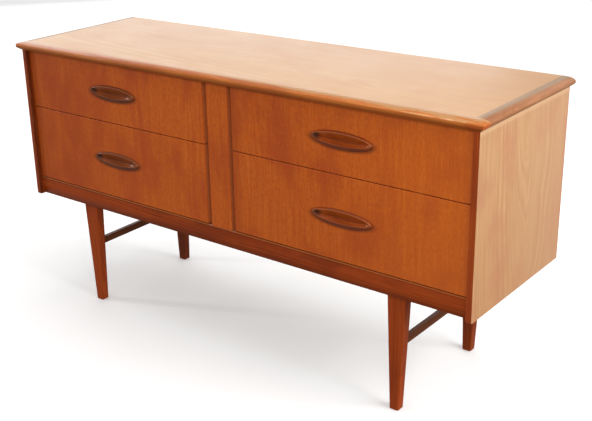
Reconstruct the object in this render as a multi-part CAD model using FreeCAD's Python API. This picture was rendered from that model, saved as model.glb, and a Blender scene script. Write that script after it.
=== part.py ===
import FreeCAD, Part
import math
import os

# Low chest with two banks of two drawers on tapered legs.
# Frame: +X to the right of someone facing the drawers, +Y to the back, +Z up.
# The origin is on the floor, under the middle of the overall box.  Millimetres.

Vec = FreeCAD.Vector

# --- driving dimensions -------------------------------------------------------
carcass_width = 1330.0
carcass_depth = 402.0
side_height = 400.0
floor_clearance = 280.0
board = 18.0

# Top board with a moulded nose on its front and both ends, flush at the back.
top_thickness = 22.0
top_overhang = 12.5
edging_width = 30.0
nose_radius = 6.0
nose_height = 12.5
shoulder_radius = 42.0
top_corner_radius = 5.0

# Side panels with a solid lipping on the front edge and a rebate for the back.
side_thickness = 13.5
lipping_depth = 9.0
lipping_foot_radius = 3.0
back_thickness = 4.0
rebate_depth = 9.0
rebate_width = 7.0

# Drawer fronts stand back from the lippings; the stile stands a little further back.
front_recess = 10.0
front_thickness = 18.0
front_inner_edge = 42.5
front_side_gap = 2.7
front_edge_radius = 1.5
stile_half_width = 31.5
stile_recess = 1.0
stile_edge_radius = 1.0
post_half_width = 38.0
post_depth = 30.0
post_clearance = 3.0
lower_front_bottom = 330.8
fronts_meet = 527.8
fronts_gap = 2.2
upper_front_top = 677.2

# Rail and bead under the drawers.
rail_thickness = 13.0
rail_bottom = 281.3
rail_set_back = 4.3
rail_curve_height = 22.0
rail_bulge = 0.28
bead_height = 3.2
bead_proud = 0.4
bead_radius = 1.2
carcass_floor = 328.5

# Hidden rails under the top.
tie_rail_depth = 50.0
tie_rail_thickness = 18.0

# Drawer boxes.
drawer_side = 12.0
drawer_back = 12.0
drawer_back_housing = 4.0
box_rear = 184.0
box_rise = 12.2
upper_side_height = 114.0
lower_side_height = 157.0
ply = 5.0
ply_rise = 8.0
ply_groove = 5.0
tail_length = 13.0
tail_flare = 3.0
tail_share = 0.76
tail_pitch = 38.0
back_board_drop = 8.0
side_overrun = 4.0

# Runner strips, fixed to the carcass, in grooves in the drawer sides.
runner_height = 12.0
runner_clearance = 0.4
runner_projection = 8.0
runner_groove_depth = 6.5
runner_level = 0.45
runner_front = -160.4
runner_stop_gap = 0.6
packing_height = 40.0

# Lens-shaped pull, let into the drawer front and standing proud of it.
handle_half_length = 79.0
handle_half_height = 20.2
handle_proud = 4.0
handle_let_in = 14.0
handle_shoulder = 1.5
handle_rim = 4.0
handle_scoop_depth = 14.5
handle_scoop_droop = 0.25
handle_rim_radius = 3.0
handle_lift = 1.5
handle_toward_middle = 2.0

# Legs, tapered across the width of the chest, and their stretchers and bearers.
leg_foot_inner = 463.1
leg_foot_outer = 485.5
leg_shoulder_inner = 452.9
leg_shoulder_outer = 500.7
leg_thickness = 24.0
foot_thickness = 22.4
leg_edge_radius = 3.0
tenon = 2.0
foot_chamfer = 1.5
back_leg_centre = 171.9
stretcher_inner = 474.8
stretcher_width = 12.0
stretcher_top = 173.6
stretcher_height = 18.0
stretcher_edge_radius = 1.2
bearer_width = 24.0
bearer_height = 28.0
corner_block_width = 30.0
corner_block_height = 26.0
corner_block_length = 60.0

# Fasteners: where they stand along the piece they hold.
top_screw_x = (-560.0, -330.0, -100.0, 100.0, 330.0, 560.0)
back_screw_x = (-480.0, -240.0, 0.0, 240.0, 480.0)
back_screw_z = (350.0, 450.0, 550.0, 650.0)
divider_screw_z = (450.0, 560.0)
runner_screw_y = (-140.0, 20.0, 150.0)
bearer_screw_y = (-110.0, 5.0, 120.0)
corner_block_y = (-120.0, 0.0, 120.0)
top_screw_length = 32.0
back_screw_length = 16.0
back_screw_head = 3.0
back_screw_shank = 1.4
runner_screw_length = 18.0
bearer_screw_length = 42.0
screw_tip = 4.0
slot_width = 0.9
slot_depth = 1.0

# Margin by which a cutting block runs past the piece that it cuts, and the slack
# with which an edge is told to lie in a plane.
past = 50.0
near = 0.1

# --- places worked out from them ----------------------------------------------
half_width = carcass_width / 2
inner_face = half_width - side_thickness
carcass_top = floor_clearance + side_height
overall_depth = carcass_depth + top_overhang
carcass_front = -overall_depth / 2 + top_overhang
carcass_back = overall_depth / 2
back_panel_front = carcass_back - rebate_depth
front_face = carcass_front + front_recess
front_back_face = front_face + front_thickness
stile_face = front_face + stile_recess
post_front = front_back_face + post_clearance
post_back = post_front + post_depth
rail_back = front_face + rail_thickness
panel_underside = carcass_floor - board
tie_rail_bottom = carcass_top - tie_rail_thickness
front_outer_edge = inner_face - front_side_gap
upper_front_bottom = fronts_meet + fronts_gap / 2
lower_front_top = fronts_meet - fronts_gap / 2
leg_middle = (leg_shoulder_inner + leg_shoulder_outer) / 2

parts = {}


def box(x0, x1, y0, y1, z0, z1):
    """A block between two corners."""
    return Part.makeBox(x1 - x0, y1 - y0, z1 - z0, Vec(x0, y0, z0))


def mirrored(shape):
    """The same piece on the other side of the chest."""
    return shape.mirror(Vec(0, 0, 0), Vec(1, 0, 0))


def prism(points, travel):
    """A closed outline of straight runs, swept along a vector."""
    outline = Part.makePolygon(points + [points[0]])
    return Part.Face(outline).extrude(travel)


def both_sides(name, shape):
    """Store a right-hand piece and its left-hand twin."""
    parts["right_" + name] = shape
    parts["left_" + name] = mirrored(shape)


def screw(head, direction, length, head_radius=3.6, shank_radius=1.7):
    """A countersunk slotted screw: head is the middle of its flat top."""
    way = Vec(*direction)
    head_height = head_radius - shank_radius
    cone = Part.makeCone(head_radius, shank_radius, head_height, head, way)
    shank = Part.makeCylinder(shank_radius, length - screw_tip, head, way)
    tip_start = head + way * (length - screw_tip)
    tip = Part.makeCone(shank_radius, shank_radius / 4, screw_tip, tip_start, way)
    slot = Part.makeBox(3 * head_radius, slot_width, slot_depth,
                        Vec(-1.5 * head_radius, -slot_width / 2, 0))
    slot.Placement = FreeCAD.Placement(head, FreeCAD.Rotation(Vec(0, 0, 1), way))
    return cone.fuse(shank).fuse(tip).cut(slot)


def group(shapes):
    """Several like solids kept in one node."""
    return Part.makeCompound(shapes)


def seat(names, shapes):
    """Clear the holes that a group of fasteners takes in the pieces they hold."""
    for name in names:
        parts[name] = parts[name].cut(group(shapes))


# --- top ----------------------------------------------------------------------
def nose_outline(place):
    """Edge of the top: a long shoulder into a round nose, which the underside meets on a slant.

    place(out, up) turns a distance outside the carcass face and a height above
    the carcass into a point.  Gives the two arcs and their outer end points.
    """
    nose_out = top_overhang - nose_radius
    rise = nose_height - (top_thickness - shoulder_radius)
    shoulder_out = nose_out - math.sqrt((shoulder_radius - nose_radius) ** 2 - rise ** 2)
    shoulder_up = top_thickness - shoulder_radius
    meet_angle = math.atan2(rise, nose_out - shoulder_out)
    tangent_angle = math.atan2(nose_height, nose_out) - math.asin(
        nose_radius / math.hypot(nose_out, nose_height))
    leave_angle = tangent_angle - math.pi / 2

    def on_nose(angle):
        return place(nose_out + nose_radius * math.cos(angle),
                     nose_height + nose_radius * math.sin(angle))

    def on_shoulder(angle):
        return place(shoulder_out + shoulder_radius * math.cos(angle),
                     shoulder_up + shoulder_radius * math.sin(angle))

    top_angle = math.pi / 2
    shoulder = Part.Arc(on_shoulder(top_angle), on_shoulder((top_angle + meet_angle) / 2),
                        on_shoulder(meet_angle))
    nose = Part.Arc(on_nose(meet_angle), on_nose((meet_angle + leave_angle) / 2),
                    on_nose(leave_angle))
    return [shoulder.toShape(), nose.toShape()], on_shoulder(top_angle), on_nose(leave_angle)


def line(a, b):
    """A straight edge."""
    return Part.LineSegment(a, b).toShape()


def moulded_slab():
    """The whole top before it is divided into its board and edgings."""
    def front(out, up):
        return Vec(-half_width - past, carcass_front - out, carcass_top + up)

    edges, upper, lower = nose_outline(front)
    heel = front(0, 0)
    back_low = Vec(heel.x, carcass_back, carcass_top)
    back_high = Vec(heel.x, carcass_back, carcass_top + top_thickness)
    loop = edges + [line(lower, heel), line(heel, back_low), line(back_low, back_high),
                    line(back_high, upper)]
    along = Part.Face(Part.Wire(Part.__sortEdges__(loop)))
    along = along.extrude(Vec(carcass_width + 2 * past, 0, 0))

    def end(out, up):
        return Vec(half_width + out, carcass_front - past, carcass_top + up)

    def far_end(out, up):
        return Vec(-half_width - out, carcass_front - past, carcass_top + up)

    right, right_upper, right_lower = nose_outline(end)
    left, left_upper, left_lower = nose_outline(far_end)
    loop = right + left + [
        line(right_lower, end(0, 0)), line(end(0, 0), far_end(0, 0)),
        line(far_end(0, 0), left_lower), line(left_upper, right_upper)]
    across = Part.Face(Part.Wire(Part.__sortEdges__(loop)))
    across = across.extrude(Vec(0, carcass_depth + 2 * past, 0))

    plan = box(-half_width - top_overhang, half_width + top_overhang,
               carcass_front - top_overhang, carcass_back,
               carcass_top - past, carcass_top + top_thickness + past)
    corners = [edge for edge in plan.Edges
               if edge.BoundBox.ZLength > top_thickness
               and edge.Vertexes[0].Y < 0]
    plan = plan.makeFillet(top_corner_radius, corners)
    return along.common(across).common(plan)


def make_top():
    """The board and its three edgings, all cut from one moulded slab."""
    slab = moulded_slab()
    far = half_width + past
    board_edge = half_width + top_overhang - edging_width
    board_front = carcass_front - top_overhang + edging_width
    low = carcass_top - past
    high = carcass_top + top_thickness + past
    parts["top_panel"] = slab.common(box(-board_edge, board_edge, board_front, carcass_back, low, high))
    parts["top_front_edging"] = slab.common(box(-far, far, -far, board_front, low, high))
    both_sides("top_edging", slab.common(box(board_edge, far, board_front, carcass_back, low, high)))


# --- carcass ------------------------------------------------------------------
def make_sides():
    """Side panels, rebated for the back, and the lippings on their front edges."""
    lipping_back = carcass_front + lipping_depth
    panel = box(inner_face, half_width, lipping_back, carcass_back, floor_clearance, carcass_top)
    rebate = box(inner_face - past, inner_face + rebate_width, back_panel_front,
                 carcass_back + past, panel_underside, carcass_top + past)
    both_sides("side_panel", panel.cut(rebate))

    lipping = box(inner_face, half_width, carcass_front, lipping_back, floor_clearance, carcass_top)
    foot_corner = [edge for edge in lipping.Edges
                   if abs(edge.BoundBox.ZMax - floor_clearance) < near
                   and abs(edge.BoundBox.YMax - carcass_front) < near]
    both_sides("front_lipping", lipping.makeFillet(lipping_foot_radius, foot_corner))


def make_inner_frame():
    """Bottom, back, tie rails, and the divider, post and stile between the two banks."""
    parts["bottom_panel"] = box(-inner_face, inner_face, rail_back, back_panel_front,
                                panel_underside, carcass_floor)
    for name, y0, y1 in (("top_front_rail", post_front, post_front + tie_rail_depth),
                         ("top_back_rail", back_panel_front - tie_rail_depth, back_panel_front)):
        parts[name] = box(-inner_face, inner_face, y0, y1, tie_rail_bottom, carcass_top)
    parts["centre_divider"] = box(-board / 2, board / 2, post_back, back_panel_front,
                                  carcass_floor, tie_rail_bottom)
    parts["centre_post"] = box(-post_half_width, post_half_width, post_front, post_back,
                               carcass_floor, tie_rail_bottom)
    stile = box(-stile_half_width, stile_half_width, stile_face, post_front,
                carcass_floor, carcass_top)
    face_edges = [edge for edge in stile.Edges
                  if abs(edge.BoundBox.YMax - stile_face) < near
                  and edge.BoundBox.ZLength > board]
    parts["centre_stile"] = stile.makeFillet(stile_edge_radius, face_edges)
    back_edge = inner_face + rebate_width
    parts["back_panel"] = box(-back_edge, back_edge, back_panel_front,
                              back_panel_front + back_thickness, panel_underside, carcass_top)


def make_rail():
    """Rail under the drawers, its face curving back below, with a thin bead above it."""
    bead_bottom = carcass_floor - bead_height
    curve_top = rail_bottom + rail_curve_height
    start = -inner_face

    def at(y, z):
        return Vec(start, y, z)

    bulge = at(front_face + rail_set_back * rail_bulge, rail_bottom + rail_curve_height / 2)
    low_front = at(front_face + rail_set_back, rail_bottom)
    curve = Part.Arc(low_front, bulge, at(front_face, curve_top))
    outline = [curve.toShape(),
               line(at(front_face, curve_top), at(front_face, bead_bottom)),
               line(at(front_face, bead_bottom), at(rail_back, bead_bottom)),
               line(at(rail_back, bead_bottom), at(rail_back, rail_bottom)),
               line(at(rail_back, rail_bottom), low_front)]
    face = Part.Face(Part.Wire(outline))
    parts["bottom_rail"] = face.extrude(Vec(2 * inner_face, 0, 0))

    bead_face = front_face - bead_proud
    bead = box(-inner_face, inner_face, bead_face, rail_back, bead_bottom, carcass_floor)
    round_edges = [edge for edge in bead.Edges
                   if abs(edge.BoundBox.YMax - bead_face) < near
                   and edge.BoundBox.XLength > inner_face]
    parts["bottom_bead"] = bead.makeFillet(bead_radius, round_edges)


def runner_levels():
    """Bottom heights of the upper and lower runner strips."""
    for front_bottom, height in ((upper_front_bottom, upper_side_height),
                                 (lower_front_bottom, lower_side_height)):
        yield front_bottom + box_rise + height * runner_level


def make_runners():
    """Runner strips on the side panels and on the packing beside the divider."""
    screws = []
    outer, centre, packing = [], [], []
    for level in runner_levels():
        top = level + runner_height
        outer.append(box(inner_face - runner_projection, inner_face, runner_front, box_rear, level, top))
        centre.append(box(post_half_width, post_half_width + runner_projection,
                          runner_front, box_rear, level, top))
        middle = level + runner_height / 2
        packing.append(box(board / 2, post_half_width, post_back, box_rear,
                           middle - packing_height / 2, middle + packing_height / 2))
        for y in runner_screw_y:
            screws.append(screw(Vec(inner_face - runner_projection, y, middle),
                                (1, 0, 0), runner_screw_length))
            screws.append(screw(Vec(post_half_width + runner_projection, y, middle),
                                (-1, 0, 0), runner_screw_length))
    both_sides("outer_runners", group(outer))
    both_sides("centre_runners", group(centre))
    parts["centre_packing"] = group(packing + [mirrored(block) for block in packing])
    every = screws + [mirrored(one) for one in screws]
    parts["runner_screws"] = group(every)
    hosts = ["centre_packing", "centre_post"]
    for side in ("left", "right"):
        hosts += [side + "_outer_runners", side + "_centre_runners", side + "_side_panel"]
    seat(hosts, every)


# --- drawers ------------------------------------------------------------------
def tails(x0, x1, bottom, height):
    """Dovetails on the front end of a drawer side, wider towards their tips."""
    count = round(height / tail_pitch)
    pitch = height / count
    shapes = []
    for index in range(count):
        middle = bottom + (index + 0.5) * pitch
        tip = pitch * tail_share / 2
        root = tip - tail_flare
        tip_y = front_back_face - tail_length
        outline = [Vec(x0, front_back_face, middle - root), Vec(x0, tip_y, middle - tip),
                   Vec(x0, tip_y, middle + tip), Vec(x0, front_back_face, middle + root)]
        shapes.append(prism(outline, Vec(x1 - x0, 0, 0)))
    return shapes


def lens(half_length, half_height, x, z, y0, y1):
    """An upright elliptical plate."""
    ellipse = Part.Ellipse(Vec(0, 0, 0), half_length, half_height).toShape()
    face = Part.Face(Part.Wire([ellipse]))
    face.rotate(Vec(0, 0, 0), Vec(1, 0, 0), 90)
    face.translate(Vec(x, y0, z))
    return face.extrude(Vec(0, y1 - y0, 0))


def scoop(x, z, rim_face):
    """The finger hollow: a boat-shaped bowl whose bottom droops as it deepens."""
    ball = Part.makeSphere(1.0)
    a = handle_half_length - handle_rim
    b = handle_half_height - handle_rim
    shape = FreeCAD.Matrix(a, 0, 0, x,
                           0, handle_scoop_depth, 0, rim_face,
                           0, -handle_scoop_droop * handle_scoop_depth, b, z,
                           0, 0, 0, 1)
    return ball.transformGeometry(shape)


def handle(x, z):
    """The pull, and the part of it that is let into the drawer front."""
    rim_face = front_face - handle_proud
    rim = lens(handle_half_length, handle_half_height, x, z, rim_face, front_face)
    outer_edge = [edge for edge in rim.Edges if abs(edge.BoundBox.YMax - rim_face) < near]
    rim = rim.makeFillet(handle_rim_radius, outer_edge)
    let_in = lens(handle_half_length - handle_shoulder, handle_half_height - handle_shoulder,
                  x, z, front_face, front_face + handle_let_in)
    return rim.fuse(let_in).cut(scoop(x, z, rim_face)), let_in


def drawer_side_board(x0, x1, groove_x0, groove_x1, ply_x0, ply_x1, bottom, height):
    """One side of a drawer box with its dovetails, runner groove and bottom groove."""
    side = box(x0, x1, front_back_face, box_rear, bottom, bottom + height)
    level = bottom + height * runner_level
    runner_groove = box(groove_x0, groove_x1, runner_front - runner_stop_gap, box_rear + past,
                        level - runner_clearance, level + runner_height + runner_clearance)
    ply_slot = box(ply_x0, ply_x1, front_back_face, box_rear + past,
                   bottom + ply_rise, bottom + ply_rise + ply)
    return side.cut(runner_groove).cut(ply_slot)


def make_drawer(name, front_bottom, front_top, box_height):
    """A right-hand drawer and its left-hand twin."""
    bottom = front_bottom + box_rise
    left_in = front_inner_edge + drawer_side
    right_in = front_outer_edge - drawer_side
    inner = drawer_side_board(front_inner_edge, left_in,
                              front_inner_edge - past, front_inner_edge + runner_groove_depth,
                              left_in - ply_groove, left_in + past, bottom, box_height)
    outer = drawer_side_board(right_in, front_outer_edge,
                              front_outer_edge - runner_groove_depth, front_outer_edge + past,
                              right_in - past, right_in + ply_groove, bottom, box_height)
    inner_tails = tails(front_inner_edge, left_in, bottom, box_height)
    outer_tails = tails(right_in, front_outer_edge, bottom, box_height)

    back_face = box_rear - side_overrun
    back = box(left_in - drawer_back_housing, right_in + drawer_back_housing,
               back_face - drawer_back, back_face,
               bottom + ply_rise + ply, bottom + box_height - back_board_drop)
    bottom_board = box(left_in - ply_groove, right_in + ply_groove,
                       front_back_face - ply_groove, back_face,
                       bottom + ply_rise, bottom + ply_rise + ply)
    inner = inner.cut(back)
    outer = outer.cut(back)
    inner = inner.fuse(inner_tails).cut(bottom_board)
    outer = outer.fuse(outer_tails).cut(bottom_board)

    front = box(front_inner_edge, front_outer_edge, front_face, front_back_face,
                front_bottom, front_top)
    face_edges = [edge for edge in front.Edges if abs(edge.BoundBox.YMax - front_face) < near]
    front = front.makeFillet(front_edge_radius, face_edges)
    handle_x = (front_inner_edge + front_outer_edge) / 2 - handle_toward_middle
    handle_z = (front_bottom + front_top) / 2 + handle_lift
    pull, let_in = handle(handle_x, handle_z)
    front = front.cut(inner).cut(outer).cut(bottom_board).cut(let_in)

    pieces = {"front": front, "handle": pull, "back": back, "bottom": bottom_board}
    for piece, shape in pieces.items():
        parts[name + "_right_drawer_" + piece] = shape
        parts[name + "_left_drawer_" + piece] = mirrored(shape)
    parts[name + "_right_drawer_left_side"] = inner
    parts[name + "_right_drawer_right_side"] = outer
    parts[name + "_left_drawer_right_side"] = mirrored(inner)
    parts[name + "_left_drawer_left_side"] = mirrored(outer)


# --- base ---------------------------------------------------------------------
def make_leg(front_y, foot_y):
    """A leg that widens upwards, standing on a slightly smaller foot."""
    grow = panel_underside / floor_clearance
    top_inner = leg_foot_inner + (leg_shoulder_inner - leg_foot_inner) * grow
    top_outer = leg_foot_outer + (leg_shoulder_outer - leg_foot_outer) * grow
    rings = []
    for x0, x1, y0, y1, z in (
            (leg_foot_inner, leg_foot_outer, foot_y, foot_y + foot_thickness, 0.0),
            (top_inner, top_outer, front_y, front_y + leg_thickness, panel_underside)):
        rings.append(Part.makePolygon([Vec(x0, y0, z), Vec(x1, y0, z), Vec(x1, y1, z),
                                       Vec(x0, y1, z), Vec(x0, y0, z)]))
    leg = Part.makeLoft(rings, True, True)
    long_edges = [edge for edge in leg.Edges if edge.BoundBox.ZLength > leg_thickness]
    leg = leg.makeFillet(leg_edge_radius, long_edges)
    foot_edges = [edge for edge in leg.Edges if edge.BoundBox.ZMax < near]
    return leg.makeChamfer(foot_chamfer, foot_edges)


def make_base():
    """Legs, the stretchers and bearers that join them in pairs, and the corner blocks."""
    front_y = rail_back
    front_leg_back = front_y + leg_thickness
    back_y = back_leg_centre - leg_thickness / 2
    slack = (leg_thickness - foot_thickness) / 2
    legs = {"front_leg": make_leg(front_y, front_y + slack),
            "back_leg": make_leg(back_y, back_y + slack)}
    for name, leg in legs.items():
        both_sides(name, leg)

    stretcher = box(stretcher_inner, stretcher_inner + stretcher_width,
                    front_leg_back - tenon, back_y + tenon,
                    stretcher_top - stretcher_height, stretcher_top)
    long_edges = [edge for edge in stretcher.Edges if edge.BoundBox.YLength > stretcher_width]
    stretcher = stretcher.makeFillet(stretcher_edge_radius, long_edges)
    stretcher = stretcher.cut(legs["front_leg"]).cut(legs["back_leg"])
    both_sides("stretcher", stretcher)

    bearer = box(leg_middle - bearer_width / 2, leg_middle + bearer_width / 2,
                 front_leg_back - tenon, back_y + tenon,
                 panel_underside - bearer_height, panel_underside)
    bearer = bearer.cut(legs["front_leg"]).cut(legs["back_leg"])
    both_sides("bearer", bearer)

    blocks = []
    for y in corner_block_y:
        blocks.append(prism([Vec(inner_face, y, panel_underside),
                             Vec(inner_face - corner_block_width, y, panel_underside),
                             Vec(inner_face, y, panel_underside - corner_block_height)],
                            Vec(0, corner_block_length, 0)))
    parts["corner_blocks"] = group(blocks + [mirrored(block) for block in blocks])

    screws = []
    for y in bearer_screw_y:
        screws.append(screw(Vec(leg_middle, y, panel_underside - bearer_height),
                            (0, 0, 1), bearer_screw_length))
    screws += [mirrored(one) for one in screws]
    parts["bearer_screws"] = group(screws)
    seat(["left_bearer", "right_bearer", "bottom_panel"], screws)


# --- fasteners of the back and the top ------------------------------------------
def make_carcass_screws():
    """Screws through the back panel, and those that come up into the top board."""
    face = back_panel_front + back_thickness
    edge_x = inner_face + rebate_width / 2
    places = [(0.0, z) for z in divider_screw_z]
    for z in back_screw_z:
        places += [(-edge_x, z), (edge_x, z)]
    for x in back_screw_x:
        places += [(x, panel_underside + board / 2), (x, carcass_top - tie_rail_thickness / 2)]
    screws = [screw(Vec(x, face, z), (0, -1, 0), back_screw_length,
                    back_screw_head, back_screw_shank) for x, z in places]
    parts["back_panel_screws"] = group(screws)
    seat(["back_panel", "left_side_panel", "right_side_panel", "bottom_panel",
          "top_back_rail", "centre_divider"], screws)

    screws = []
    for y in (post_front + tie_rail_depth / 2, back_panel_front - tie_rail_depth / 2):
        for x in top_screw_x:
            screws.append(screw(Vec(x, y, tie_rail_bottom), (0, 0, 1), top_screw_length))
    parts["top_fixing_screws"] = group(screws)
    seat(["top_front_rail", "top_back_rail", "top_panel"], screws)


make_top()
make_sides()
make_inner_frame()
make_rail()
make_runners()
make_drawer("upper", upper_front_bottom, upper_front_top, upper_side_height)
make_drawer("lower", lower_front_bottom, lower_front_top, lower_side_height)
make_base()
make_carcass_screws()

os.makedirs("parts", exist_ok=True)
for node, shape in parts.items():
    shape.exportStep("parts/" + node + ".step")
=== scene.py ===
import math
from typing import NamedTuple

import bmesh
import bpy
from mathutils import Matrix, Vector


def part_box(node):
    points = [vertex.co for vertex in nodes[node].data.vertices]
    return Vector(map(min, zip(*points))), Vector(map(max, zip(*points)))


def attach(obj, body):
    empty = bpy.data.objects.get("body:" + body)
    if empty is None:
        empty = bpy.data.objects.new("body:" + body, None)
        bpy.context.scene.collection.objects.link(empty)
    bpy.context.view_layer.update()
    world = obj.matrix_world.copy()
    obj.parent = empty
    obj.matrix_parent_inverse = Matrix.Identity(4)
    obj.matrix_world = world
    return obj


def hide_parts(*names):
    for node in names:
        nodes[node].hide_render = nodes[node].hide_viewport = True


# A low chest of drawers in teak: satin veneer on the boards, solid wood on the
# edges and the base.  Metres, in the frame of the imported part.
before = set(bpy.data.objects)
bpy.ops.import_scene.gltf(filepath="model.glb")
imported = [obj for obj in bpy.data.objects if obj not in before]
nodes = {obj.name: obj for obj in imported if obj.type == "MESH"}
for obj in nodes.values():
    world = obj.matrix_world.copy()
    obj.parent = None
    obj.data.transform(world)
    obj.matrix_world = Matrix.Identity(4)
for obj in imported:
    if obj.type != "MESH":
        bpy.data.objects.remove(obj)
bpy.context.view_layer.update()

# --- camera and studio ----------------------------------------------------------
CAMERA_PLACE = (1.519, -1.876, 1.254)
CAMERA_TILT = (69.346, 1.601, 38.940)  # degrees
CAMERA_LENS = 62.98  # millimetres, like the sensor
CAMERA_SENSOR = 36.0
CAMERA_SHIFT = (0.05946, -0.01914)
FLOOR_SIZE = 80.0
FLOOR_COLOUR = (0.92, 0.92, 0.92)
FLOOR_ROUGHNESS = 0.9
FLOOR_GLOW = 0.12
SKY_STRENGTH = 0.72
GROUND_STRENGTH = 0.30
HORIZON_BLEND = 0.15
WHITE = (1.0, 1.0, 1.0)

# Each softbox: where it stands, what it faces, its width and height, and its radiance.
SOFTBOXES = {
    "back_panel_light": ((-3.6, 3.4, 1.5), (0.0, 0.0, 0.7), (5.0, 2.2), 1.9),
    "right_key": ((3.2, 0.3, 2.0), (0.5, 0.0, 0.5), (2.4, 1.8), 6.0),
    "overhead": ((0.0, 0.4, 3.4), (0.0, 0.0, 0.5), (3.0, 2.0), 1.30),
    "front_fill": ((1.7, -2.1, 1.7), (0.6, 0.0, 0.5), (0.9, 0.9), 6.3),
    "left_window": ((-3.0, -1.3, 1.3), (0.2, -0.2, 0.5), (0.16, 0.5), 60.0),
}

# --- where things are, from the frame ---------------------------------------------
top_low, top_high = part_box("top_panel")
side_low, side_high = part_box("right_side_panel")
front_low, front_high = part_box("upper_right_drawer_front")
pull_low, pull_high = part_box("upper_right_drawer_handle")
stile_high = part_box("centre_stile")[1]
rail_low, rail_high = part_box("bottom_rail")
VENEER_SKIN = 0.0006
PULL_REACH = (pull_high.x - pull_low.x) / 2
PULL_RISE = (pull_high.z - pull_low.z) / 2

# --- the carved pulls -----------------------------------------------------------------
RING_POINTS = 144
CREST_INSET = 0.0074
CREST_LIFT = 0.0028
CREST_STEPS = 7
HOLLOW_DEPTH = 0.0105
HOLLOW_STEPS = 14
HOLLOW_POWER = 0.85
HOLLOW_DROOP = 0.0050
END_POWER = 0.55
SHOULDER = 0.0015
MERGE = 0.00001

# --- the arrises of the boards ----------------------------------------------------
ARRIS = 0.0004
TOP_ARRIS = 0.00012
ARRIS_STEPS = 3
SHARP_ANGLE = math.radians(35.0)
WELD_GAP = 0.000005
WEAR_SAMPLES = 6
FLAT_COSINE = 0.999
WORN_COSINE = 0.93


# --- tones ------------------------------------------------------------------------
class Tones(NamedTuple):
    """The three tones of a wood, and the stain of its clouds."""
    dark: tuple
    middle: tuple
    light: tuple
    stain: tuple


FRONT = Tones((0.47, 0.073, 0.006), (0.59, 0.114, 0.008), (0.70, 0.166, 0.017), (0.43, 0.060, 0.008))
TOP = Tones((0.43, 0.19, 0.050), (0.48, 0.235, 0.068), (0.53, 0.28, 0.088), (0.45, 0.19, 0.066))
SIDE = Tones((0.50, 0.255, 0.115), (0.57, 0.31, 0.145), (0.64, 0.37, 0.180), (0.52, 0.235, 0.120))
SOLID = Tones((0.25, 0.034, 0.005), (0.35, 0.053, 0.007), (0.45, 0.082, 0.013), (0.18, 0.025, 0.006))
# A darker copy of the solid tones for the stretchers: painted shade under the chest.
SHADED_SOLID = Tones((0.10, 0.024, 0.005), (0.14, 0.038, 0.008), (0.19, 0.056, 0.013),
                   (0.07, 0.015, 0.004))
EDGE = Tones((0.36, 0.082, 0.010), (0.46, 0.126, 0.018), (0.56, 0.184, 0.032), (0.28, 0.058, 0.010))
END_EDGE = Tones((0.28, 0.105, 0.040), (0.35, 0.145, 0.060), (0.43, 0.195, 0.085),
                 (0.25, 0.095, 0.042))
PULL = Tones((0.25, 0.038, 0.003), (0.34, 0.057, 0.005), (0.43, 0.084, 0.008), (0.17, 0.024, 0.003))
# A darker copy of the pull tones for the left bank's pulls: painted shade.
SHADED_PULL = Tones((0.17, 0.033, 0.004), (0.24, 0.050, 0.006), (0.31, 0.070, 0.010),
                  (0.11, 0.018, 0.004))
BOX = Tones((0.44, 0.27, 0.13), (0.55, 0.36, 0.19), (0.63, 0.44, 0.25), (0.40, 0.22, 0.10))

# A light front tone: painted light towards the right end, and pale speckles in the grain.
BRIGHT_FRONT = (0.86, 0.205, 0.020)
SAWN_EDGE = (0.62, 0.175, 0.052)
PINK_TOP = (0.45, 0.235, 0.105)
# A deeper tone for painted shade towards the side's foot.
DEEP_SIDE = (0.44, 0.175, 0.060)
PINK_SIDE = (0.60, 0.35, 0.21)
# A pale tone for painted light: on the side just under the top, and on the end edgings' undersides.
PALE_SIDE = (0.76, 0.47, 0.26)
LIT_LIPPING = (0.50, 0.092, 0.016)
END_SKIN = (0.31, 0.190, 0.110)
NOSE_SKIN = (0.44, 0.205, 0.066)
# The tone of the painted highlight along the nose.
NOSE_HIGHLIGHT = (0.95, 0.66, 0.34)
# The tone of the painted highlight along the pulls' crests.
CREST_HIGHLIGHT = (0.60, 0.20, 0.07)
# A light tone for worn arrises and knocks, and for painted highlights on arrises.
WEAR_AND_HIGHLIGHT = (0.55, 0.20, 0.055)
# The tone of painted shadow round the pulls and of painted shade at the rail's foot.
PAINTED_SHADE = (0.13, 0.022, 0.004)
# A near-black tone for grime in the rail's seam and for painted shade.
GRIME_AND_SHADE = (0.045, 0.012, 0.005)
DUST = (0.60, 0.50, 0.42)
DULL_STEEL = (0.20, 0.17, 0.14)
CLEAN_STEEL = (0.48, 0.45, 0.41)
PORE_DEPTH = 0.3  # a pore's tone, as a share of the wood's dark one


class Shade(NamedTuple):
    """A soft change of tone along one axis: none of it at start, its share at full."""
    axis: str
    start: float
    full: float
    share: float
    tone: tuple


# How far either side of the middle the left bank's tones give way to the right bank's.
BANK_BLEND = 0.1

# Painted light on the fronts: brighter towards the right end.
FRONT_PAINTED_LIGHT_RIGHT = Shade("x", 0.25, front_high.x, 0.24, BRIGHT_FRONT)
# Painted shade on the fronts: darker towards the left end, and lower down.
FRONT_PAINTED_SHADE_LEFT = Shade("x", -0.15, -front_high.x, 0.20, SOLID.dark)
FRONT_PAINTED_SHADE_LOW = Shade("z", front_low.z + 0.05, front_low.z - 0.15, 0.14, SOLID.light)
# Painted shade along the fronts' outer ends, beside the lippings.
FRONT_PAINTED_SHADE_LEFT_EDGE = Shade("x", 0.065 - front_high.x, -front_high.x, 0.45, SOLID.middle)
FRONT_PAINTED_SHADE_RIGHT_EDGE = Shade("x", front_high.x - 0.024, front_high.x, 0.45, SOLID.light)
FRONT_BEHIND_VENEER = Shade("y", front_low.y + 0.0018, front_low.y + 0.0030, 1.0, SAWN_EDGE)
TOP_REAR = Shade("y", top_low.y, top_high.y, 0.7, PINK_TOP)
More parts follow.
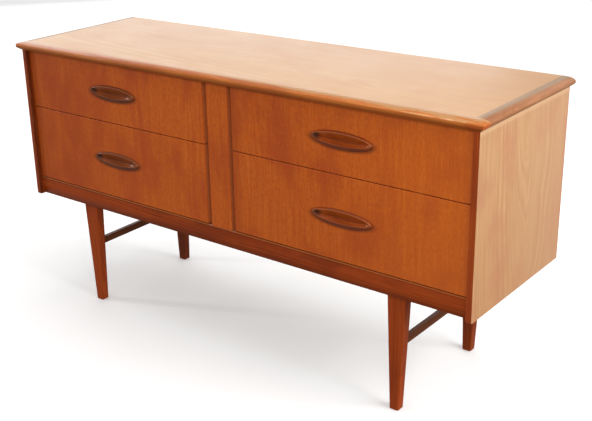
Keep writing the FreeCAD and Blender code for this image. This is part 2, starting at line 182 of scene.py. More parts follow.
# Painted shade towards the side's foot.
SIDE_PAINTED_SHADE_LOW = Shade("z", side_high.z, side_low.z, 0.28, DEEP_SIDE)
SIDE_REAR = Shade("y", -0.12, side_high.y, 0.35, PINK_SIDE)
# Painted light just under the top.
SIDE_PAINTED_LIGHT_UNDER_TOP = Shade("z", side_high.z - 0.014, side_high.z - 0.002, 0.7, PALE_SIDE)
SIDE_BACK_ARRIS = Shade("y", side_high.y - 0.006, side_high.y - 0.001, 0.6, SOLID.light)
# Painted light on the right lipping.
LIPPING_PAINTED_LIGHT_RIGHT = Shade("x", -BANK_BLEND, BANK_BLEND, 0.15, LIT_LIPPING)
# Painted shade towards the rail's foot, and a painted highlight along the top of the bead.
RAIL_PAINTED_SHADE_FOOT = Shade("z", rail_low.z + 0.026, rail_low.z, 0.6, PAINTED_SHADE)
RAIL_PAINTED_HIGHLIGHT = Shade("z", rail_high.z + 0.0002, rail_high.z + 0.0008, 0.35, WEAR_AND_HIGHLIGHT)
BOX_AHEAD = Shade("y", front_high.y, front_high.y - 0.0005, 1.0, SAWN_EDGE)
# Painted shade deeper in the pulls' hollows.
PULL_PAINTED_SHADE_DEPTH = Shade("y", 0.001, 0.0085, 0.42, GRIME_AND_SHADE)

# Painted shadow round a pull, in half sizes of it: how far it hangs below, where it begins and is
# full.
PULL_SHADOW_DROP = 0.09
PULL_SHADOW_RING = (1.20, 0.98)
PULL_SHADOW_SHARE = 0.55
# The shade on the right bank's fronts beside the stile, which stays off the stile.
STILE_SHADE_WIDTH = 0.036
STILE_SHADE_SHARE = 0.52
STILE_SHADE_CUT = (front_low.x - 0.004, front_low.x - 0.002)
# Painted shade on the left lipping, deepest along its inner edge, and its knocked arrises.
LIPPING_SHADE_WIDTH = 0.009
KNOCK_MARKS = (400.0, 400.0, 130.0)
KNOCK_RADIUS = 0.0010
KNOCK_SHARE = 0.8
# The seam between the rail and its bead, and the dust beside the stile's foot.
SEAM_LEVELS = tuple(rail_high.z + rise for rise in (-0.0022, -0.0012, 0.0001, 0.0004))
DUST_PLACES = tuple(stile_high.x + aside for aside in (-0.004, 0.001, 0.004, 0.012))
DUST_LEVELS = (rail_high.z - 0.001, rail_high.z + 0.001)
DUST_SHARE = 0.7
# The flat top of an edging, and how far its edge strays along the fibres.
FLAT_LEVELS = (top_high.z - 0.0009, top_high.z + 0.0002)
FLAT_STRAY = 0.0005
# The painted highlight along the nose, and the dark corner at its end.
NOSE_LINE = top_high.z - 0.0048
NOSE_LINE_EDGE = (0.0013, 0.0002)
NOSE_RIGHT_PART = (0.38, 0.64)
NOSE_END = (top_high.x - 0.004, top_high.x - 0.012)
CORNER_PLACES = (top_high.x - 0.016, top_high.x - 0.006)
CORNER_LEVELS = (top_high.z - 0.0055, top_high.z - 0.0075)


class Edging(NamedTuple):
    """What tells the front edging from the two at the ends."""
    grain: str
    tones: Tones
    skin: tuple  # tone of the part that lies flat beside the top
    bleach: float  # how much wider the flat part's tone grows towards the right end
    foot: float  # share of the painted light, a pale tone, on the underside
    highlight_share: float  # share of the painted highlight along the nose, and of the dark corner
    coat: float


FRONT_EDGING = Edging("X", EDGE, NOSE_SKIN, bleach=0.0034, foot=0.0, highlight_share=0.55, coat=0.12)
END_EDGING = Edging("Y", END_EDGE, END_SKIN, bleach=0.0, foot=0.5, highlight_share=0.0, coat=0.0)


# --- building materials -------------------------------------------------------------
# Where the mix node keeps its sockets when it mixes colours.
MIX_FACTOR, MIX_A, MIX_B, MIX_RESULT = 0, 6, 7, 2


def as_colour(value):
    """Three parts as the four that a colour socket takes."""
    return (*value, 1.0)


class Recipe:
    """A material under construction, with short calls for the nodes it needs."""

    def __init__(self, name):
        self.material = bpy.data.materials.new(name)
        self.material.use_nodes = True
        self.tree = self.material.node_tree
        self.shader = self.tree.nodes["Principled BSDF"]
        split = self.node("ShaderNodeSeparateXYZ")
        self.feed(split.inputs[0], self.node("ShaderNodeTexCoord").outputs["Object"])
        self.x, self.y, self.z = split.outputs

    def node(self, kind, **settings):
        """A new node with the given settings."""
        made = self.tree.nodes.new(kind)
        for key, value in settings.items():
            setattr(made, key, value)
        return made

    def feed(self, socket, value):
        """Link a socket to another, or set its number or colour."""
        if isinstance(value, bpy.types.NodeSocket):
            self.tree.links.new(value, socket)
        elif isinstance(value, tuple) and len(value) == 3 and socket.type == "RGBA":
            socket.default_value = as_colour(value)
        else:
            socket.default_value = value

    def math(self, operation, *values):
        """The result of one sum on sockets or numbers."""
        made = self.node("ShaderNodeMath", operation=operation)
        for socket, value in zip(made.inputs, values):
            self.feed(socket, value)
        return made.outputs[0]

    def add(self, a, b):
        return self.math("ADD", a, b)

    def times(self, a, b):
        return self.math("MULTIPLY", a, b)

    def absolute(self, value):
        return self.math("ABSOLUTE", value)

    def hypotenuse(self, a, b):
        """How far from zero two sides at a right angle reach."""
        return self.math("SQRT", self.add(self.times(a, a), self.times(b, b)))

    def vector(self, x, y, z):
        """Three numbers as one place."""
        made = self.node("ShaderNodeCombineXYZ")
        for socket, value in zip(made.inputs, (x, y, z)):
            self.feed(socket, value)
        return made.outputs[0]

    def cloud_node(self, dimensions, **values):
        """A noise node of one size, fed by socket name."""
        made = self.node("ShaderNodeTexNoise", noise_dimensions=dimensions)
        for key, value in {"Scale": 1.0, **values}.items():
            self.feed(made.inputs[key], value)
        return made.outputs["Fac"]

    def noise(self, vector, detail=2.0, roughness=0.5):
        """Noise over a place that is already scaled."""
        return self.cloud_node("3D", Vector=vector, Detail=detail, Roughness=roughness)

    def bands(self, position, detail, roughness):
        """Uneven bands along one number."""
        return self.cloud_node("1D", W=position, Detail=detail, Roughness=roughness)

    def spots(self, per_metre, detail=2.0, roughness=0.5):
        """Noise with so many marks per metre along x, y and z."""
        axes = zip((self.x, self.y, self.z), per_metre)
        return self.noise(self.vector(*(self.times(axis, marks) for axis, marks in axes)),
                          detail, roughness)

    def span(self, value, low, high, to_low=0.0, to_high=1.0):
        """Carry a range of numbers over to another, and hold it there."""
        made = self.node("ShaderNodeMapRange", interpolation_type="SMOOTHSTEP")
        for socket, number in zip(made.inputs, (value, low, high, to_low, to_high)):
            self.feed(socket, number)
        return made.outputs[0]

    def between(self, value, outer_low, low, high, outer_high):
        """1 from low to high, fading to 0 at the outer pair."""
        return self.times(self.span(value, outer_low, low), self.span(value, outer_high, high))

    def mix(self, factor, a, b):
        """One colour laid over another, as far as the factor says."""
        made = self.node("ShaderNodeMix", data_type="RGBA")
        for index, value in ((MIX_FACTOR, factor), (MIX_A, a), (MIX_B, b)):
            self.feed(made.inputs[index], value)
        return made.outputs[MIX_RESULT]

    def tint(self, colour, tone, value, start, full, share=1.0):
        """Lay a tone over a colour: none where the value is start, its share at full."""
        return self.mix(self.span(value, start, full, 0.0, share), colour, tone)

    def shade(self, colour, *shades):
        """Lay shades over a colour, one after another."""
        for axis, start, full, share, tone in shades:
            colour = self.tint(colour, tone, getattr(self, axis), start, full, share)
        return colour

    def ramp(self, value, stops):
        """Colours at stops along a number."""
        made = self.node("ShaderNodeValToRGB")
        self.feed(made.inputs["Fac"], value)
        elements = made.color_ramp.elements
        while len(elements) < len(stops):
            elements.new(1.0)
        for element, (position, colour) in zip(elements, stops):
            element.position = position
            element.color = as_colour(colour)
        return made.outputs["Color"]

    def arris(self, radius):
        """1 along the sharp edges of a piece, 0 on its faces."""
        rounded = self.node("ShaderNodeBevel", samples=WEAR_SAMPLES)
        rounded.inputs["Radius"].default_value = radius
        flat = self.node("ShaderNodeNewGeometry").outputs["Normal"]
        dot = self.node("ShaderNodeVectorMath", operation="DOT_PRODUCT")
        self.feed(dot.inputs[0], rounded.outputs["Normal"])
        self.feed(dot.inputs[1], flat)
        return self.span(dot.outputs["Value"], FLAT_COSINE, WORN_COSINE)

    def bump(self, height, strength, distance):
        """Raise the surface where the height is high."""
        made = self.node("ShaderNodeBump")
        made.inputs["Strength"].default_value = strength
        made.inputs["Distance"].default_value = distance
        self.feed(made.inputs["Height"], height)
        self.feed(self.shader.inputs["Normal"], made.outputs["Normal"])

    def finish(self, colour, roughness, specular, coat=0.0, coat_roughness=0.2):
        """Feed the shader, and hand over the material."""
        values = {"Base Color": colour, "Roughness": roughness, "Specular IOR Level": specular,
                  "Coat Weight": coat, "Coat Roughness": coat_roughness}
        for key, value in values.items():
            self.feed(self.shader.inputs[key], value)
        return self.material


class Figure:
    """The figure of timber cut along one axis: rings, fibres, pores and clouds.

    The rings lie round a pith line that stands outside the board and leans a
    little, which gives the figure.  Marks are counted per metre, along the fibres
    and across them.
    """

    SWAY_MARKS = (3.0, 7.0)
    CLOUD_MARKS = (7.0, 13.0)
    FLECK_MARKS = (45.0, 1300.0)
    FIBRES_ACROSS = 330.0
    NOISE_MIDDLE = 0.5
    NOISE_SWING = 0.25  # how far noise mostly strays from its middle
    CLOUD_EDGE = (0.42, 0.70)  # the noise where a cloud begins, and where it is full
    FLECK_EDGE = (0.60, 0.70)
    SHEEN_RANGE = (0.3, 0.7)
    FIBRE_SHARE = 0.6  # what the fibres count for in the relief and in the sheen
    PORE_RELIEF = 0.0003

    def __init__(self, recipe, grain, pith=(0.35, 0.20), lean=(0.02, 0.05), ring=95.0,
                 wander=0.012, matched=False, fibre=5.0):
        self.recipe = recipe
        x = recipe.absolute(recipe.x) if matched else recipe.x
        axes = {"X": (recipe.x, recipe.y, recipe.z), "Y": (recipe.y, x, recipe.z),
                "Z": (recipe.z, x, recipe.y)}
        self.along, self.over, self.deep = axes[grain]
        slow = recipe.noise(self.stretched(*self.SWAY_MARKS), 2.0)
        sway = recipe.times(recipe.add(slow, -self.NOISE_MIDDLE), wander / self.NOISE_SWING)
        radius = recipe.hypotenuse(self.off_pith(self.over, pith[0], lean[0], sway),
                                   self.off_pith(self.deep, pith[1], lean[1], sway))
        self.rings = recipe.bands(recipe.times(radius, ring), 4.0, 0.6)
        self.fibres = recipe.noise(self.stretched(fibre, self.FIBRES_ACROSS), 4.0, 0.62)
        self.clouds = recipe.noise(self.stretched(*self.CLOUD_MARKS), 3.0, 0.55)
        specks = recipe.noise(self.stretched(*self.FLECK_MARKS), 2.0)
        self.flecks = recipe.span(specks, *self.FLECK_EDGE)

    def off_pith(self, place, offset, lean, sway):
        """How far a place lies from the leaning, swaying pith line, along one axis."""
        recipe = self.recipe
        straight = recipe.add(place, offset)
        return recipe.add(straight, recipe.add(recipe.times(self.along, lean), sway))

    def stretched(self, along, across):
        """The place scaled by one number along the fibres and another across them."""
        recipe = self.recipe
        return recipe.vector(recipe.times(self.along, along), recipe.times(self.over, across),
                             recipe.times(self.deep, across))

    def colour(self, tones, ring_share=0.5, contrast=0.16, mottle=0.35, pores=0.3):
        """Three tones by ring and fibre, a stain in soft clouds, and dark pores."""
        recipe = self.recipe
        tone = recipe.add(recipe.times(self.rings, ring_share),
                          recipe.times(self.fibres, 1.0 - ring_share))
        middle = self.NOISE_MIDDLE
        timber = recipe.ramp(tone, ((middle - contrast, tones.dark), (middle, tones.middle),
                                    (middle + contrast, tones.light)))
        timber = recipe.tint(timber, tones.stain, self.clouds, *self.CLOUD_EDGE, share=mottle)
        pore = tuple(PORE_DEPTH * part for part in tones.dark)
        return recipe.mix(recipe.times(self.flecks, pores), timber, pore)

    def surface(self, strength=0.25):
        """Open pores and raised fibres."""
        raised = self.recipe.times(self.fibres, self.FIBRE_SHARE)
        height = self.recipe.math("SUBTRACT", raised, self.flecks)
        self.recipe.bump(height, strength, self.PORE_RELIEF)

    def sheen(self, middle, spread=0.08):
        """Roughness that follows the fibres."""
        recipe = self.recipe
        tone = recipe.add(recipe.times(self.fibres, self.FIBRE_SHARE),
                          recipe.times(self.clouds, 1.0 - self.FIBRE_SHARE))
        return recipe.span(tone, *self.SHEEN_RANGE, middle - spread, middle + spread)


# Solid sticks are cut near the pith.
NEAR_PITH = (0.10, 0.06)
STICK = {"pith": NEAR_PITH, "lean": (0.03, 0.02), "wander": 0.006}


# --- the veneers --------------------------------------------------------------------
def shadow_round_pulls(wood):
    """1 in the soft painted shadow round each pull, wider below it, 0 away from the pulls."""
    aside = wood.add(wood.absolute(wood.x), -(pull_low.x + pull_high.x) / 2)
    along = wood.times(aside, 1.0 / PULL_REACH)
    shadow = 0.0
    for row in ("upper", "lower"):
        low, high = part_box(row + "_right_drawer_handle")
        rise = wood.times(wood.add(wood.z, -(low.z + high.z) / 2), 1.0 / PULL_RISE)
        ring = wood.hypotenuse(along, wood.add(rise, PULL_SHADOW_DROP))
        shadow = wood.math("MAXIMUM", shadow, wood.span(ring, *PULL_SHADOW_RING))
    return shadow


def front_veneer():
    """Upright veneer of the drawer fronts and the stile, with painted light and painted shade laid
    over it.
    """
    wood = Recipe("front_veneer")
    figure = Figure(wood, "Z", pith=(0.42, 0.24), lean=(0.03, -0.06), ring=75.0, fibre=9.0)
    colour = figure.colour(FRONT, ring_share=0.30, contrast=0.22, mottle=0.75)
    blotch = wood.spots((70.0, 0.0, 60.0), detail=5.0, roughness=0.7)
    speckle = wood.spots((230.0, 0.0, 120.0), detail=3.0)
    colour = wood.tint(colour, FRONT.stain, blotch, start=0.48, full=0.70, share=0.35)
    colour = wood.tint(colour, FRONT.stain, speckle, start=0.50, full=0.68, share=0.50)
    colour = wood.tint(colour, BRIGHT_FRONT, speckle, start=0.46, full=0.32, share=0.16)
    # Painted light towards the right end; painted shade at the left end, low down and along the left
    # end's edge.
    colour = wood.shade(colour, FRONT_PAINTED_LIGHT_RIGHT, FRONT_PAINTED_SHADE_LEFT, FRONT_PAINTED_SHADE_LOW, FRONT_PAINTED_SHADE_LEFT_EDGE)
    by_stile = wood.span(wood.x, front_low.x + STILE_SHADE_WIDTH, front_low.x,
                         to_high=STILE_SHADE_SHARE)
    off_stile = wood.span(wood.x, *STILE_SHADE_CUT)
    colour = wood.mix(wood.times(by_stile, off_stile), colour, SOLID.middle)
    # Painted shade on the fronts beside the right lipping.
    colour = wood.shade(colour, FRONT_PAINTED_SHADE_RIGHT_EDGE)
    # Painted shadow round the pulls, wider below them.
    colour = wood.mix(wood.times(shadow_round_pulls(wood), PULL_SHADOW_SHARE), colour, PAINTED_SHADE)
    colour = wood.shade(colour, FRONT_BEHIND_VENEER)
    figure.surface()
    return wood.finish(colour, figure.sheen(0.42), specular=0.22)


def top_veneer():
    """Smooth, pale veneer with faint streaks along the top, pinker to the rear."""
    wood = Recipe("top_veneer")
    figure = Figure(wood, "X", pith=(0.05, -0.62), lean=(0.05, -0.06), ring=110.0)
    colour = figure.colour(TOP, contrast=0.22, mottle=0.35, pores=0.12)
    figure.surface(0.08)
    return wood.finish(wood.shade(colour, TOP_REAR), figure.sheen(0.38, 0.04), specular=0.5)


def side_figure(wood):
    """Crown-cut figure, the same on both sides, and its colour: painted shade towards
    the foot, pinker to the rear and painted light just under the top."""
    figure = Figure(wood, "Z", pith=(-0.535, -0.03), lean=(-0.13, 0.03), ring=120.0,
                    wander=0.016, matched=True)
    colour = figure.colour(SIDE, contrast=0.13, mottle=0.8, pores=0.25)
    return figure, wood.shade(colour, SIDE_PAINTED_SHADE_LOW, SIDE_REAR, SIDE_PAINTED_LIGHT_UNDER_TOP)


def side_veneer():
    """The side panels: veneer outside, stained wood inside and on the back arris."""
    wood = Recipe("side_veneer")
    figure, colour = side_figure(wood)
    colour = wood.shade(colour, SIDE_BACK_ARRIS)
    colour = wood.tint(colour, SOLID.middle, wood.absolute(wood.x),
                       start=side_low.x + 0.0010, full=side_low.x + 0.0005)
    figure.surface(0.12)
    return wood.finish(colour, figure.sheen(0.40), specular=0.35)


# --- the solid wood -----------------------------------------------------------------
def lipping():
    """Dark solid wood whose outer face carries the side's veneer, with knocked arrises, painted
    light on the right lipping and painted shade on the left one.
    """
    wood = Recipe("lipping")
    solid = Figure(wood, "Z", ring=260.0, **STICK)
    # Painted light on the right lipping.
    dark = wood.shade(solid.colour(SOLID, mottle=0.5), LIPPING_PAINTED_LIGHT_RIGHT)
    outward = wood.absolute(wood.x)
    on_left = wood.span(wood.x, BANK_BLEND, -BANK_BLEND)
    # Painted shade on the left lipping, deepest along its inner edge.
    inner_shade = wood.span(outward, side_low.x + LIPPING_SHADE_WIDTH, side_low.x,
                            to_low=0.1, to_high=0.6)
    dark = wood.mix(wood.times(inner_shade, on_left), dark, GRIME_AND_SHADE)
    knocked = wood.times(wood.arris(KNOCK_RADIUS), wood.span(wood.spots(KNOCK_MARKS), 0.50, 0.62))
    dark = wood.mix(wood.times(knocked, KNOCK_SHARE), dark, WEAR_AND_HIGHLIGHT)
    pale = side_figure(wood)[1]
    skin = wood.span(outward, side_high.x - VENEER_SKIN, side_high.x - VENEER_SKIN / 2)
    solid.surface()
    return wood.finish(wood.mix(skin, dark, pale), solid.sheen(0.36), specular=0.15)


def solid_teak(name, grain, tones=SOLID, wear_and_highlight=0.4):
    """Legs and stretchers, lighter along their arrises in wear and painted highlight, with painted
    shade towards the back.
    """
    wood = Recipe(name)
    figure = Figure(wood, grain, ring=260.0, **STICK)
    colour = figure.colour(tones, mottle=0.5)
    # Lighter along the arrises: wear and painted highlight.
    colour = wood.mix(wood.times(wood.arris(radius=0.0020), wear_and_highlight), colour, WEAR_AND_HIGHLIGHT)
    # Painted shade towards the back, deepest at the left.
    rear = wood.span(wood.y, 0.0, 0.12)
    leftward = wood.span(wood.x, 0.5, -0.5, to_low=0.28, to_high=0.62)
    colour = wood.mix(wood.times(rear, leftward), colour, GRIME_AND_SHADE)
    figure.surface()
    return wood.finish(colour, figure.sheen(0.4), specular=0.12)


def dust_by_stile(wood):
    """1 in specks of dust on the rail, to each side of the foot of the stile."""
    beside = wood.between(wood.absolute(wood.x), *DUST_PLACES)
    above = wood.span(wood.z, *DUST_LEVELS)
    specks = wood.span(wood.spots((700.0, 700.0, 700.0), detail=1.0), 0.54, 0.62)
    return wood.times(wood.times(beside, above), specks)


def rail_teak():
    """The rail and its bead: painted shade towards the foot, a painted highlight along the bead,
    grime in the seam between them and dust where the stile stands on them."""
    wood = Recipe("rail_teak")
    figure = Figure(wood, "X", pith=NEAR_PITH, lean=(0.012, 0.02), ring=240.0, wander=0.008)
    # Painted shade towards the foot and a painted highlight along the bead.
    colour = wood.shade(figure.colour(SOLID, mottle=0.6), RAIL_PAINTED_SHADE_FOOT, RAIL_PAINTED_HIGHLIGHT)
    seam = wood.between(wood.z, *SEAM_LEVELS)
    left_to_right = wood.span(wood.x, -0.2, 0.4, to_low=0.6, to_high=0.15)
    colour = wood.mix(wood.times(seam, left_to_right), colour, GRIME_AND_SHADE)
    colour = wood.mix(wood.times(dust_by_stile(wood), DUST_SHARE), colour, DUST)
    figure.surface()
    return wood.finish(colour, figure.sheen(0.38), specular=0.12)


# --- the edgings --------------------------------------------------------------------
def flat_part(wood, figure, bleach):
    """1 on the flat top of an edging, with an edge that strays along the fibres."""
    streak = wood.times(figure.fibres, FLAT_STRAY)
    patch = wood.span(wood.spots((14.0, 60.0, 0.0), detail=3.0), 0.35, 0.6)
    widening = wood.span(wood.x, -0.1, top_high.x, to_high=bleach)
    level = wood.add(wood.add(wood.z, streak), wood.times(widening, patch))
    return wood.span(level, *FLAT_LEVELS)


def nose_highlight_and_corner(wood, colour, highlight_share):
    """A broken painted highlight along the nose towards the right end, and a dark corner."""
    off_line = wood.absolute(wood.add(wood.z, -NOSE_LINE))
    broken = wood.span(wood.spots((22.0, 22.0, 0.0), detail=4.0), 0.34, 0.62)
    highlight = wood.times(broken, wood.span(wood.x, *NOSE_RIGHT_PART, to_high=highlight_share))
    highlight = wood.times(highlight, wood.span(off_line, *NOSE_LINE_EDGE))
    highlight = wood.times(highlight, wood.span(wood.x, *NOSE_END))
    # Painted highlight along the nose.
    colour = wood.mix(highlight, colour, NOSE_HIGHLIGHT)
    at_end = wood.span(wood.x, *CORNER_PLACES, to_high=highlight_share)
    below_line = wood.span(wood.z, *CORNER_LEVELS)
    return wood.mix(wood.times(at_end, below_line), colour, SOLID.middle)


def edging_teak(name, kind):
    """The moulded edgings: pale where they lie flat beside the top, glossy on the nose, with painted
    light underneath and a painted highlight along the nose.
    """
    wood = Recipe(name)
    figure = Figure(wood, kind.grain, pith=NEAR_PITH, lean=(0.015, 0.01), ring=200.0,
                    wander=0.010)
    colour = figure.colour(kind.tones, mottle=0.5, pores=0.15)
    # Painted light on the underside.
    colour = wood.tint(colour, PALE_SIDE, wood.z, start=top_high.z - 0.011,
                       full=top_low.z + 0.002, share=kind.foot)
    colour = wood.mix(flat_part(wood, figure, kind.bleach), colour, kind.skin)
    colour = nose_highlight_and_corner(wood, colour, kind.highlight_share)
    ripple = wood.noise(figure.stretched(26.0, 60.0))
    relief = wood.add(ripple, wood.times(figure.fibres, 0.12))
    wood.bump(relief, strength=0.30, distance=0.0010)
    return wood.finish(colour, figure.sheen(0.36), specular=0.15, coat=kind.coat,
                       coat_roughness=0.07)


# --- the pulls' wood ----------------------------------------------------------------
def pull_teak(name, tones, highlight_share):
    """The carved pulls, each about its own middle: painted shade in the hollow, beyond the crest and
    at the left tip, painted light above, a painted highlight on the crest.

    Places on it are told in half lengths and half heights of the crest.
    """
    wood = Recipe(name)
    figure = Figure(wood, "X", ring=330.0, **STICK)
    # Painted shade deeper in the hollow.
    colour = wood.shade(figure.colour(tones, mottle=0.5, pores=0.4), PULL_PAINTED_SHADE_DEPTH)
    along = wood.times(wood.x, 1.0 / (PULL_REACH - CREST_INSET))
    rise = wood.times(wood.add(wood.z, -CREST_LIFT), 1.0 / (PULL_RISE - CREST_INSET))
    ring = wood.hypotenuse(along, rise)
    # Painted light on the upper part of the pull.
    colour = wood.tint(colour, tones.light, rise, start=-0.3, full=0.7, share=0.35)
    # Painted shade on the outer slope beyond the crest.
    colour = wood.tint(colour, GRIME_AND_SHADE, ring, start=1.04, full=1.16, share=0.40)
    # Painted highlight along the crest, strongest at the top.
    off_crest = wood.absolute(wood.add(ring, -1.0))
    upward = wood.span(rise, -1.0, 0.9, to_low=0.10, to_high=highlight_share)
    crest = wood.times(wood.span(off_crest, 0.09, 0.01), upward)
    colour = wood.mix(crest, colour, CREST_HIGHLIGHT)
    # Painted shade in the hollow at the left tip.
    left_tip = wood.times(wood.span(along, -0.66, -0.90), wood.span(ring, 1.08, 0.96))
    colour = wood.mix(wood.times(left_tip, 0.85), colour, GRIME_AND_SHADE)
    figure.surface(0.15)
    return wood.finish(colour, figure.sheen(0.34), specular=0.08, coat=0.40,
                       coat_roughness=0.06)


# --- what shows only when a drawer is open --------------------------------------------
def pale_wood(name, grain):
    """Drawer boxes and hidden carcass pieces; what shows between the fronts is stained."""
    wood = Recipe(name)
    figure = Figure(wood, grain, pith=(0.2, 0.1), ring=220.0)
    colour = wood.shade(figure.colour(BOX, mottle=0.3, pores=0.2), BOX_AHEAD)
    figure.surface()
    return wood.finish(colour, figure.sheen(0.6), specular=0.3)


def screw_steel():
    """Steel, dull and rough in patches."""
    steel = Recipe("screw_steel")
    patches = steel.spots((260.0, 260.0, 260.0), detail=4.0)
    colour = steel.ramp(patches, ((0.3, DULL_STEEL), (0.6, CLEAN_STEEL)))
    roughness = steel.span(patches, 0.3, 0.7, to_low=0.28, to_high=0.5)
    steel.shader.inputs["Metallic"].default_value = 1.0
    return steel.finish(colour, roughness, specular=0.5)


def dress():
    """Give every carried-over piece its wood, with the grain along its length."""
    pale = {axis: pale_wood("box_wood_" + axis.lower(), axis) for axis in "XYZ"}
    # The first row whose endings fit a node's name says what the node is made of.
    woods = (
        (("screws",), screw_steel()),
        (("drawer_front", "centre_stile"), front_veneer()),
        (("top_panel",), top_veneer()),
        (("side_panel",), side_veneer()),
        (("lipping",), lipping()),
        (("left_top_edging", "right_top_edging"), edging_teak("edging_teak_y", END_EDGING)),
        (("top_front_edging",), edging_teak("edging_teak_x", FRONT_EDGING)),
        (("bottom_rail", "bottom_bead"), rail_teak()),
        (("_leg",), solid_teak("leg_teak", "Z")),
        # The stretchers take the darker solid tones as painted shade.
        (("stretcher",), solid_teak("stretcher_teak", "Y", SHADED_SOLID, wear_and_highlight=0.1)),
        (("drawer_bottom", "back_panel"), pale_wood("plywood", "X")),
        (("left_side", "right_side", "bearer", "packing", "runners"), pale["Y"]),
        (("post", "divider"), pale["Z"]),
        (("",), pale["X"]),
    )
    for node, thing in nodes.items():
        material = next(made for endings, made in woods if node.endswith(endings))
        thing.data.materials.clear()
        thing.data.materials.append(material)


# --- shapes -------------------------------------------------------------------------
def soften(thing, width):
    """Close the seams of the mesh and break its arrises."""
    weld = thing.modifiers.new("weld", "WELD")
    weld.merge_threshold = WELD_GAP
    bevel = thing.modifiers.new("arris", "BEVEL")
    bevel.width = width
    bevel.segments = ARRIS_STEPS
    bevel.limit_method = "ANGLE"
    bevel.angle_limit = SHARP_ANGLE
    bevel.use_clamp_overlap = True
    bevel.harden_normals = True


def outline(length, height, depth, rise):
    """An elliptical loop of the given half length and half height."""
    loop = []
    for index in range(RING_POINTS):
        angle = math.tau * index / RING_POINTS
        loop.append(Vector((length * math.cos(angle), depth, rise + height * math.sin(angle))))
    return loop


def rim_loops(proud, let_in):
    """Loops from the back of the let-in part, up its side and over to the crest."""
    for depth in (let_in, 0.0):
        yield outline(PULL_REACH - SHOULDER, PULL_RISE - SHOULDER, depth, 0.0)
    for step in range(CREST_STEPS + 1):
        inward = step / CREST_STEPS
        inset = CREST_INSET * inward
        yield outline(PULL_REACH - inset, PULL_RISE - inset,
                      -proud * math.sin(math.pi / 2 * inward), CREST_LIFT * inward)


def hollow_loops(crest):
    """Loops that sink from the crest to a keel line along the bottom of the hollow."""
    reach = max(point.x for point in crest)
    for step in range(1, HOLLOW_STEPS + 1):
        inward = step / HOLLOW_STEPS
        loop = []
        for point in crest:
            room = max(0.0, 1.0 - (point.x / reach) ** 2)
            keel = CREST_LIFT - HOLLOW_DROOP * math.sqrt(room)
            depth = HOLLOW_DEPTH * room ** END_POWER * inward ** HOLLOW_POWER
            loop.append(Vector((point.x, point.y + depth, point.z + (keel - point.z) * inward)))
        yield loop


def skinned(name, loops):
    """A mesh with a flat back on the first loop and quads from each loop to the next."""
    shape = bmesh.new()
    rings = [[shape.verts.new(point) for point in loop] for loop in loops]
    shape.faces.new(list(reversed(rings[0])))
    for outer, inner in zip(rings, rings[1:]):
        for index in range(RING_POINTS):
            after = (index + 1) % RING_POINTS
            shape.faces.new((outer[index], outer[after], inner[after], inner[index]))
    bmesh.ops.remove_doubles(shape, verts=shape.verts, dist=MERGE)
    bmesh.ops.dissolve_degenerate(shape, edges=shape.edges, dist=MERGE)
    bmesh.ops.recalc_face_normals(shape, faces=shape.faces)
    for face in shape.faces:
        face.smooth = len(face.verts) <= 4
    mesh = bpy.data.meshes.new(name)
    shape.to_mesh(mesh)
    shape.free()
    return mesh


def make_pull(name, body, material):
    """A lens-shaped pull with a boat-shaped hollow, in place of its plain solid."""
    low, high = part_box(name)
    middle = Vector(((low.x + high.x) / 2, front_low.y, (low.z + high.z) / 2))
    loops = list(rim_loops(middle.y - low.y, high.y - middle.y))
    loops += hollow_loops(loops[-1])
    mesh = skinned(name + "_carved", loops)
    mesh.materials.append(material)
    pull = bpy.data.objects.new(name + "_carved", mesh)
    pull.location = middle
    bpy.context.collection.objects.link(pull)
    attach(pull, body)
    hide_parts(name)


# --- studio -------------------------------------------------------------------------
def make_camera():
    """The camera that took the photograph, as solved from its perspective."""
    data = bpy.data.cameras.new("camera")
    data.sensor_width = CAMERA_SENSOR
    data.lens = CAMERA_LENS
    data.shift_x, data.shift_y = CAMERA_SHIFT
    camera = bpy.data.objects.new("camera", data)
    camera.location = CAMERA_PLACE
    camera.rotation_euler = [math.radians(angle) for angle in CAMERA_TILT]
    bpy.context.collection.objects.link(camera)
    bpy.context.scene.camera = camera


def softbox(name, place, aim, size, radiance):
    """A rectangular light whose face glows at the given radiance."""
    width, height = size
    data = bpy.data.lights.new(name, "AREA")
    data.shape = "RECTANGLE"
    data.size, data.size_y = size
    data.energy = radiance * math.pi * width * height
    light = bpy.data.objects.new(name, data)
    light.location = place
    direction = Vector(aim) - Vector(place)
    light.rotation_euler = direction.to_track_quat("-Z", "Y").to_euler()
    bpy.context.collection.objects.link(light)


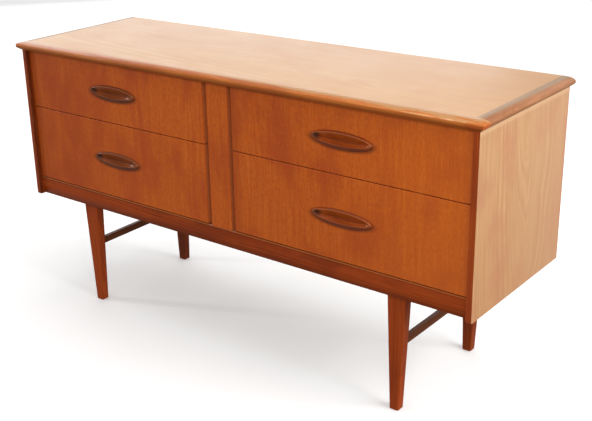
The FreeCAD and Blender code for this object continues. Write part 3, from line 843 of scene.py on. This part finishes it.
def make_world():
    """A bright sky over a dimmer ground, with a soft step at the horizon."""
    world = bpy.data.worlds.new("studio")
    world.use_nodes = True
    tree = world.node_tree
    background = tree.nodes["Background"]
    place = tree.nodes.new("ShaderNodeTexCoord")
    split = tree.nodes.new("ShaderNodeSeparateXYZ")
    step = tree.nodes.new("ShaderNodeMapRange")
    tree.links.new(place.outputs["Generated"], split.inputs[0])
    tree.links.new(split.outputs["Z"], step.inputs["Value"])
    ends = {"From Min": -HORIZON_BLEND, "From Max": HORIZON_BLEND,
            "To Min": GROUND_STRENGTH, "To Max": SKY_STRENGTH}
    for key, value in ends.items():
        step.inputs[key].default_value = value
    tree.links.new(step.outputs["Result"], background.inputs["Strength"])
    background.inputs["Color"].default_value = as_colour(WHITE)
    bpy.context.scene.world = world


def make_floor():
    """A wide, pale, matt floor that the chest doesn't mirror."""
    bpy.ops.mesh.primitive_plane_add(size=FLOOR_SIZE)
    floor = bpy.context.object
    floor.name = "floor"
    material = bpy.data.materials.new("floor")
    material.use_nodes = True
    shader = material.node_tree.nodes["Principled BSDF"]
    values = {"Base Color": as_colour(FLOOR_COLOUR), "Roughness": FLOOR_ROUGHNESS,
              "Specular IOR Level": 0.0, "Emission Color": as_colour(FLOOR_COLOUR),
              "Emission Strength": FLOOR_GLOW}
    for key, value in values.items():
        shader.inputs[key].default_value = value
    floor.data.materials.append(material)
    floor.visible_glossy = False
    floor.visible_diffuse = False


make_camera()
make_world()
make_floor()
for box_name, box_facts in SOFTBOXES.items():
    softbox(box_name, *box_facts)
bpy.context.scene.view_settings.view_transform = "Standard"

dress()
for node, thing in nodes.items():
    if not node.endswith(("screws", "handle", "_leg")):
        soften(thing, TOP_ARRIS if "top_" in node else ARRIS)
# The left bank's pulls take darker tones as painted shade.
pull_woods = {"right": pull_teak("pull_teak", PULL, highlight_share=0.45),
              "left": pull_teak("shaded_pull_teak", SHADED_PULL, highlight_share=0.20)}
for node in sorted(nodes):
    if node.endswith("_handle"):
        bank = "left" if "_left_" in node else "right"
        make_pull(node, node.removesuffix("_handle"), pull_woods[bank])
